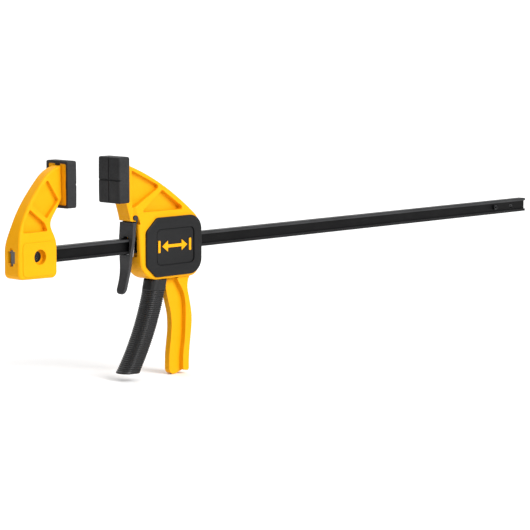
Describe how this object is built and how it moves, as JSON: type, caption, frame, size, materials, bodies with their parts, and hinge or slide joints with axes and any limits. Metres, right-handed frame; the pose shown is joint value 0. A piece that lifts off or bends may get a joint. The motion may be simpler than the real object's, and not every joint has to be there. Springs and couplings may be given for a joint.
{
  "type": "one-handed trigger bar clamp",
  "caption": "One-handed bar clamp: steel I-section bar, fixed jaw, sliding jaw body with squeeze trigger, release lever and soft clamping pads.",
  "frame": {"origin": "on the bar's axis, in the plane of the fixed pad's clamping face", "axes": "+X along the bar from the fixed jaw to the free end, +Z from the bar towards the pads, +Y across the clamp"},
  "size_m": [0.8551, 0.0344, 0.2481],
  "materials": {
    "yellow_nylon": "satin moulded, glass-filled",
    "black_nylon": "satin moulded",
    "grey_nylon": "satin moulded",
    "pad_rubber": "matte",
    "grip_rubber": "matte, ribbed",
    "black_steel": "satin black powder coat",
    "blackened_steel": "black oxide",
    "plate_steel": "hardened, ground",
    "spring_steel": "drawn wire",
    "mark_yellow": "satin inlay"
  },
  "bodies": {
    "bar_frame": {"bar": "black_steel", "bar_stop_pin": "blackened_steel", "fixed_jaw": "yellow_nylon", "fixed_pad": "pad_rubber", "jaw_lock_screw": "blackened_steel", "jaw_barrel_nut": "blackened_steel"},
    "jaw_carriage": {"moving_jaw": "yellow_nylon", "moving_pad": "pad_rubber", "trigger_pin": "plate_steel", "right_cover": "black_nylon", "left_cover": "black_nylon", "right_mark": "mark_yellow", "left_mark": "mark_yellow", "drive_spring": "spring_steel", "brake_spring": "spring_steel"},
    "squeeze_trigger": {"trigger": "black_nylon", "trigger_grip": "grip_rubber"},
    "drive_plates": {"front_drive_plate": "plate_steel", "rear_drive_plate": "plate_steel"},
    "brake_lever": {"release_lever": "grey_nylon", "brake_plate": "plate_steel"}
  },
  "joints": [
    {"name": "jaw_slide", "type": "slide", "parent": "bar_frame", "child": "jaw_carriage", "axis": [1, 0, 0], "range_m": [-0.0603, 0.5285]},
    {"name": "trigger_squeeze", "type": "hinge", "parent": "jaw_carriage", "child": "squeeze_trigger", "pos_m": [0.128, 0, 0.0175], "axis": [0, -1, 0], "range_deg": [0, 16], "stiffness_Nm_per_rad": 0.6, "springref_deg": -22.92},
    {"name": "drive_plate_slide", "type": "slide", "parent": "jaw_carriage", "child": "drive_plates", "axis": [1, 0, 0], "range_m": [0, 0.005], "deforming": ["drive_spring"]},
    {"name": "release_lever_pivot", "type": "hinge", "parent": "jaw_carriage", "child": "brake_lever", "pos_m": [0.0904, 0, 0.0314], "axis": [0, -1, 0], "range_deg": [0, 8], "stiffness_Nm_per_rad": 1.1, "springref_deg": -6.88, "deforming": ["brake_spring"]}
  ],
  "couplings": [
    {"joint": "drive_plate_slide", "follows": "trigger_squeeze", "m_per_rad": 0.0175}
  ]
}
